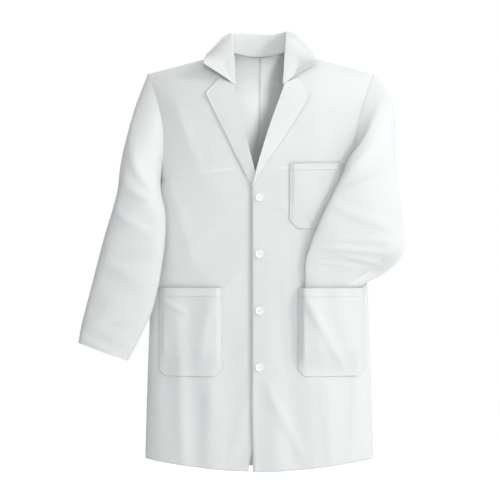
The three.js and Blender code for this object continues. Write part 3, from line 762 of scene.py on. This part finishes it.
# sleeves: a top sleeve and an under sleeve each
# each section: outer and inner edge, depth place at both, depth of the two halves, hug to the body
rightSections = [
    ((334, -255), (240, -352), (-40, -50), (44, 42), 0),
    ((351, -350), (230, -402), (-55, -66), (40, 34), 0),
    ((382, -458), (234, -492), (-66, -78), (37, 30), 0),
    ((414, -583), (258, -619), (-74, -82), (33, 29), 0),
    ((436, -670), (294, -703), (-79, -85), (29, 27), 0),
    ((443, -712), (322, -756), (-82, -87), (26, 25), 0),
]
leftSections = [
    ((306, -120), (222, -262), (-22, -64), (30, 22), 0),
    ((327, -235), (203, -303), (-40, -76), (42, 24), 0),
    ((343, -340), (181, -345), (-56, -91), (36, 12), 0),
    ((355, -440), (150, -408), (-64, -100), (30, 9), 0),
    ((350, -498), (128, -462), (-66, -99), (24, 9), 0),
    ((306, -544), (113, -512), (-64, -99), (15, 7), 0.4),
    ((247, -577), (112, -556), (-54, -94), (8, 3), 1),
    ((236, -630), (114, -625), (-54, -94), (7, 3), 1),
    ((232, -688), (116, -684), (-54, -94), (6, 3), 1),
]


def sectionRing(section, half, u):
    outer, inner, at, depth, hug = section
    around = math.pi * u
    across = (1 - np.cos(around)) / 2
    x, z = lerp(outer[0], inner[0], across), lerp(outer[1], inner[1], across)
    body = frontShell(x, z) - lapShift(x) - 9
    line = lerp(lerp(at[0], at[1], across), body, hug)
    bulge = np.sin(around) ** 0.8 * (-depth[0] if half == "top" else depth[1])
    return np.stack([x, line + bulge, z], -1)


def armholeRing(half, u):
    z = lerp(coat["tipHeight"], coat["underarm"], (1 - np.cos(math.pi * u)) / 2)
    scoop = coat["frontScoop"] if half == "top" else coat["backScoop"]
    x = armholeEdge(z, scoop)
    y = frontShell(x, z) - 1.0 if half == "top" else backShell(x, z) + 1.0
    return np.stack([x - 1.0, y, z + 1 - u], -1)


sleeveCreases = {  # u, v, width in u, width in v, slope, height: soft folds across a sleeve
    right: [
        (0.35, 0.16, 0.3, 0.03, 0.10, 4.0), (0.62, 0.27, 0.25, 0.03, -0.12, 4.5),
        (0.45, 0.42, 0.35, 0.022, 0.08, 3.5), (0.6, 0.50, 0.3, 0.02, -0.10, 4.0),
        (0.4, 0.58, 0.3, 0.022, 0.07, 3.0), (0.55, 0.76, 0.3, 0.03, -0.06, 2.2),
    ],
    left: [
        (0.4, 0.09, 0.3, 0.03, 0.08, 4.0), (0.55, 0.2, 0.3, 0.022, -0.09, 4.5),
        (0.5, 0.3, 0.3, 0.02, 0.08, 4.0), (0.5, 0.42, 0.35, 0.02, -0.09, 5.0),
        (0.35, 0.5, 0.3, 0.018, 0.10, 5.0), (0.5, 0.57, 0.3, 0.016, 0.05, 4.5),
        (0.3, 0.62, 0.25, 0.014, -0.06, 4.0), (0.6, 0.66, 0.3, 0.012, 0.03, 2.5),
    ],
}


def sleevePoint(side, half, u, v):
    sections = rightSections if side == right else leftSections
    rings = [armholeRing(half, u)] + [sectionRing(s, half, u) for s in sections]
    point = catmull(rings, v)
    rise = np.zeros_like(u)
    for cu, cv, wu, wv, slope, height in sleeveCreases[side]:
        rise += height * bump(u, cu, wu) * bump(v - slope * (u - cu), cv, wv)
    rise += 1.1 * np.sin(u * 13 + v * 21) * ease(v / 0.1) + 0.7 * np.sin(u * 7 - v * 47)
    middle = np.sin(math.pi * u) * ease(v / 0.08)
    hug = ease((v - 0.62) / 0.1) if side == left else 0 * v
    point[:, 1] += rise * middle * (1 - hug) * (-1 if half == "top" else 1)
    point[:, 0] *= side
    return point


def matchNormals(part, pointAt, columns, rows, outward):
    # shade a length of sleeve as the whole sleeve would be, so that its two lengths meet unseen
    u, v = np.meshgrid(np.linspace(0, 1, columns + 1), np.linspace(0, 1, rows + 1))
    u, v, step = u.ravel(), v.ravel(), 4e-3
    across = pointAt(np.minimum(1, u + step), v) - pointAt(np.maximum(0, u - step), v)
    along = pointAt(u, v + step) - pointAt(u, v - step)
    normals = np.cross(across, along)
    normals /= np.linalg.norm(normals, axis=1, keepdims=True) + 1e-9
    if (normals * np.asarray(outward)).sum() < 0:
        normals = -normals
    mesh = part.data
    both = np.concatenate([normals, -normals])
    if len(mesh.vertices) == len(both):
        mesh.normals_split_custom_set_from_vertices(both.tolist())


def sleeveLength(name, side, half, start, end, rows):
    def here(u, v):
        return sleevePoint(side, half, u, np.clip(lerp(start, end, v), 0, 1))

    columns = 64
    grid = gridOf(here, columns, rows)
    facing = (0, -1, 0) if half == "top" else (0, 1, 0)
    part = sheetObject(name, grid, 1.1, facing, sleeveFinish)
    if end < 1 or start > 0:
        matchNormals(part, here, columns, rows, facing)
    return part


rightCut = 0.36  # how far down the right sleeve its two lengths meet
for half in ("top", "under"):
    upper = sleeveLength(f"{half}SleeveRightUpper", right, half, 0, rightCut, rows=80)
    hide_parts(f"{half}_sleeve_right_upper")
    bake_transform(upper)
    lower = sleeveLength(f"{half}SleeveRightLower", right, half, rightCut, 1, rows=120)
    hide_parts(f"{half}_sleeve_right_lower")
    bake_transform(lower)
    whole = sleeveLength(f"{half}SleeveLeft", left, half, 0, 1, rows=230)
    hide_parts(f"{half}_sleeve_left_upper", f"{half}_sleeve_left_lower")
    swings(whole)
print("sleeves made")

# buttons
buttons = {"first": -356, "pitch": 138.7, "radius": 10, "thickness": 3.2, "slit": 23,
           "rim": 0.0021, "step": 0.0008, "dish": 0.0011, "holeSpread": 0.0018, "hole": 0.0010}
acrossFront = (math.radians(90), 0, 0)  # turns an upright cylinder to point forward
buttonHeights = [buttons["first"] - n * buttons["pitch"] for n in range(4)]


def makeButton(name, height):
    ground = float(frontY(np.array([0.0]), np.array([height]))[0]) - coat["stack"] - 0.9
    bpy.ops.object.select_all(action="DESELECT")
    middle = (0, (ground - buttons["thickness"] / 2) / 1000, height / 1000)
    bpy.ops.mesh.primitive_cylinder_add(vertices=56, radius=buttons["radius"] / 1000, location=middle,
                                        depth=buttons["thickness"] / 1000, rotation=acrossFront)
    disc = bpy.context.object
    disc.name = name
    bpy.ops.object.transform_apply(location=True, rotation=True, scale=True)
    bpy.ops.object.mode_set(mode="EDIT")
    bpy.ops.mesh.select_all(action="DESELECT")
    bpy.ops.object.mode_set(mode="OBJECT")
    for face in disc.data.polygons:
        face.select = face.normal.y < -0.9
    bpy.ops.object.mode_set(mode="EDIT")
    bpy.ops.mesh.select_mode(type="FACE")
    bpy.ops.mesh.inset(thickness=buttons["rim"])
    bpy.ops.mesh.inset(thickness=buttons["step"])
    bpy.ops.transform.translate(value=(0, buttons["dish"], 0))
    bpy.ops.mesh.inset(thickness=0.0012)
    bpy.ops.transform.translate(value=(0, 0.0003, 0))
    bpy.ops.object.mode_set(mode="OBJECT")
    soften = disc.modifiers.new("soften", "BEVEL")
    soften.width, soften.segments = 0.0006, 3
    soften.limit_method, soften.angle_limit = "ANGLE", math.radians(30)
    bpy.ops.object.modifier_apply(modifier="soften")
    for x in (-1, 1):
        for z in (-1, 1):
            bpy.ops.object.select_all(action="DESELECT")
            away = buttons["holeSpread"]
            place = (x * away, (ground - 2) / 1000, height / 1000 + z * away)
            bpy.ops.mesh.primitive_cylinder_add(vertices=18, radius=buttons["hole"], depth=0.012,
                                                rotation=acrossFront, location=place)
            drill = bpy.context.object
            pickOnly(disc)
            hole = disc.modifiers.new("hole", "BOOLEAN")
            hole.object, hole.operation, hole.solver = drill, "DIFFERENCE", "EXACT"
            bpy.ops.object.modifier_apply(modifier="hole")
            bpy.data.objects.remove(drill, do_unlink=True)
    disc.data.materials.clear()
    disc.data.materials.append(buttonMaterial)
    bpy.ops.object.shade_smooth_by_angle(angle=math.radians(40))
    return disc, ground


# metres: each strand's ring, the half gap of a pair, the shank, and how far in both lie
threads = {"ring": 0.00035, "pair": 0.0003, "shank": 0.0017, "shankLength": 0.0066,
           "ringIn": 0.0028, "shankIn": 0.0036, "stretch": 1.25}


def makeThread(name, height, ground):
    # two bars across the holes with the strands that run down to the cloth
    face = (ground - buttons["thickness"]) / 1000
    strands = []
    away = buttons["holeSpread"]
    for z in (-away, away):
        for shift in (-threads["pair"], threads["pair"]):
            bpy.ops.object.select_all(action="DESELECT")
            place = (0, face + threads["ringIn"], height / 1000 + z + shift)
            bpy.ops.mesh.primitive_torus_add(major_segments=24, minor_segments=8,
                                             major_radius=away, minor_radius=threads["ring"],
                                             rotation=acrossFront, location=place)
            ring = bpy.context.object
            ring.rotation_euler = (0, 0, 0)
            bpy.ops.transform.resize(value=(1, threads["stretch"], 1))
            strands.append(ring)
    bpy.ops.object.select_all(action="DESELECT")
    place = (0, ground / 1000 + threads["shankIn"], height / 1000)
    bpy.ops.mesh.primitive_cylinder_add(vertices=20, radius=threads["shank"], depth=threads["shankLength"],
                                        rotation=acrossFront, location=place)
    strands.append(bpy.context.object)
    for part in strands:
        part.select_set(True)
    bpy.context.view_layer.objects.active = strands[-1]
    bpy.ops.object.join()
    thread = bpy.context.object
    thread.name = name
    bpy.ops.object.transform_apply(location=True, rotation=True, scale=True)
    bpy.ops.object.shade_smooth()
    thread.data.materials.clear()
    thread.data.materials.append(threadMaterial)
    return thread


def makeButtonhole(name, height):
    # a stitched slit: close zigzag bars along each side and a bar at the far end
    paths = []
    normal = np.array([0, -1.0, 0])

    def y(x, z):
        return float(frontY(np.array([x]), np.array([z]))[0]) - coat["stack"] - 0.35

    for z0 in (-1.5, 1.5):
        for x in np.arange(-3.5, buttons["slit"] - 3, 0.75):
            z = height + z0
            ends = np.array([[x, y(x, z), z - 1.1], [x + 0.35, y(x, z), z + 1.1]])
            paths.append((ends, np.array([normal, normal])))
    for z in np.arange(height - 2.2, height + 2.3, 0.6):
        x = buttons["slit"] - 2.6
        ends = np.array([[x - 1, y(x, z), z], [x + 1, y(x, z), z + 0.2]])
        paths.append((ends, np.array([normal, normal])))
    vertices, faces = [], []
    for points, normals in paths:
        length = float(np.linalg.norm(points[1] - points[0])) - 0.03
        got, made = stitchRun([(points, normals)], 0.01, length, width=0.6, lift=0.35)
        faces += [tuple(i + len(vertices) for i in face) for face in made[:6]]
        vertices += got[:8]
    mesh = bpy.data.meshes.new(name)
    mesh.from_pydata([tuple(v) for v in vertices], [], faces)
    mesh.materials.append(threadMaterial)
    return addPart(name, mesh)


for n, height in enumerate(buttonHeights):
    disc, ground = makeButton(f"button{n + 1}", height)
    thread = makeThread(f"buttonThread{n + 1}", height, ground)
    hole = makeButtonhole(f"buttonhole{n + 1}", height)
    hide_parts(f"button_{n + 1}")
    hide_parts(f"button_thread_{n + 1}")
    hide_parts(f"buttonhole_{n + 1}")
    for part, side in ((disc, right), (thread, right), (hole, left)):
        swings(part)
print("buttons made")

# topstitching
ahead, behind = (0, -1, 0), (0, 1, 0)
spread = np.linspace(0, 1, 160)
hemRow = np.full(160, 0.981)
stitchRows = {  # each row's place across or down its piece
    "edge": 0.021, "centreBack": 0.02, "lapel": 0.95, "pocket": 0.022, "collar": 0.965, "cuff": 0.955,
}


def steady(share, count):
    return np.full(count, share)


for side in (right, left):
    name = sideNames[side]
    here = lambda u, v: frontPoint(side, u, v)
    lines = [pathOn(here, spread, hemRow, ahead)]
    if side == left:
        down = np.linspace(0.42, 0.995, 160)
        lines.append(pathOn(here, steady(stitchRows["edge"], 160), down, ahead))
    seam = stitchObject(f"{name}FrontStitching", lines, threadMaterial)
    swings(seam)
    there = lambda u, v: backPoint(side, u, v)
    lines = [pathOn(there, spread, hemRow, behind)]
    if side == left:
        down = np.linspace(0.05, 0.7, 160)
        lines.append(pathOn(there, steady(stitchRows["centreBack"], 160), down, behind))
    seam = stitchObject(f"{name}BackStitching", lines, threadMaterial)
    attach(seam, "coat")
    flap = lambda u, v: lapelPoint(side, u, v)
    lines = [pathOn(flap, steady(stitchRows["lapel"], 120), np.linspace(0.02, 0.97, 120), ahead),
             pathOn(flap, np.linspace(0.3, stitchRows["lapel"], 40), steady(0.035, 40), ahead)]
    seam = stitchObject(f"{name}LapelStitching", lines, threadMaterial)
    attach(seam, "coat")

for name, pocket in pockets.items():
    here = lambda u, v: pocketPoint(pocket, u, v) + np.array([0, -0.1, 0])
    inset, down = stitchRows["pocket"], np.linspace(0.01, 0.985, 90)
    lines = [pathOn(here, steady(inset, 90), down, ahead),
             pathOn(here, steady(1 - inset, 90), down, ahead),
             pathOn(here, np.linspace(inset, 1 - inset, 60), steady(0.985, 60), ahead)]
    bandLine = lambda u, v: pocketPoint(pocket, u, v) + np.array([0, -0.6, 0])
    lines.append(pathOn(bandLine, np.linspace(0.03, 0.97, 60), steady(0.093, 60), ahead))
    seam = stitchObject(f"{name}PocketStitching", lines, threadMaterial)
    if name == "chest":
        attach(seam, "coat")
    else:
        swings(seam)

around = np.linspace(0.004, 0.996, 300)
collarLine = [pathOn(collarPoint, around, steady(stitchRows["collar"], 300), (0, 0, 1))]
seam = stitchObject("collarStitching", collarLine, threadMaterial)
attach(seam, "coat")
for half, facing in (("top", ahead), ("under", behind)):
    here = lambda u, v: sleevePoint(right, half, u, v)
    line = [pathOn(here, np.linspace(0.01, 0.99, 90), steady(stitchRows["cuff"], 90), facing)]
    seam = stitchObject(f"{half}CuffStitching", line, threadMaterial)
    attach(seam, "right_lower_sleeve")
print("stitching made")

# floor, backdrop and lights
def plainFinish(name, colour):
    finish = Finish(name)
    finish.fix(Roughness=0.9)
    finish.shader.inputs["Base Color"].default_value = colour
    return finish.material


bpy.ops.object.select_all(action="DESELECT")
bpy.ops.mesh.primitive_plane_add(size=14, location=(0, 1.0, -1.32))
floor = bpy.context.object
floor.name = "paperFloor"
floor.data.materials.append(plainFinish("studioPaper", (0.99, 0.99, 0.99, 1)))


studioLamps = {  # power in watts, spread in degrees
    "neckFill": {"place": (0.72, -2.9, 0.30), "aim": (0, 0.06, -0.12), "spread": 11, "power": 350},
    "keyRight": {"place": (2.9, -2.0, 1.6), "aim": (0, 0, -0.45), "size": 0.7, "power": 52},
    "fillFront": {"place": (0.1, -4.6, 0.9), "aim": (0, 0, -0.2), "size": 1.6, "power": 44},
    "rimBack": {"place": (0.5, 3.0, 1.6), "aim": (0, 0, -0.4), "size": 2.2, "power": 30},
}


def addLamp(name, kind):
    setup = studioLamps[name]
    data = bpy.data.lights.new(name, kind)
    data.energy = setup["power"]
    if kind == "AREA":
        data.shape, data.size = "DISK", setup["size"]
    else:
        data.spot_size, data.spot_blend = math.radians(setup["spread"]), 0.4
        data.shadow_soft_size = 0.25
    lamp = addPart(name, data)
    lamp.location = setup["place"]
    direction = Vector(np.array(setup["aim"]) - np.array(setup["place"]))
    lamp.rotation_euler = direction.to_track_quat("-Z", "Y").to_euler()
    return lamp


# the neck lamp reaches the inside of the back, and lights nothing else
neckLamp = addLamp("neckFill", "SPOT")
litInside = bpy.data.collections.new("litInside")
for name in ("rightBack", "leftBack"):
    litInside.objects.link(bpy.data.objects[name])
neckLamp.light_linking.receiver_collection = litInside
lights = [neckLamp] + [addLamp(name, "AREA") for name in ("keyRight", "fillFront", "rimBack")]
bpy.ops.object.select_all(action="DESELECT")
upright = (0, math.radians(90), 0)
bpy.ops.mesh.primitive_plane_add(size=2.6, location=(-1.35, -0.7, -0.4), rotation=upright)
flag = bpy.context.object
flag.name = "greyFlag"
flag.visible_camera = False
flag.data.materials.append(plainFinish("greyFlagCard", (0.16, 0.165, 0.17, 1)))
world = bpy.data.worlds.new("studioAir")
bpy.context.scene.world = world
world.use_nodes = True
air = world.node_tree.nodes["Background"]
air.inputs["Color"].default_value = (1, 1, 1, 1)
air.inputs["Strength"].default_value = 1.0
bpy.context.scene.view_settings.view_transform = "Standard"

print("scene finished")
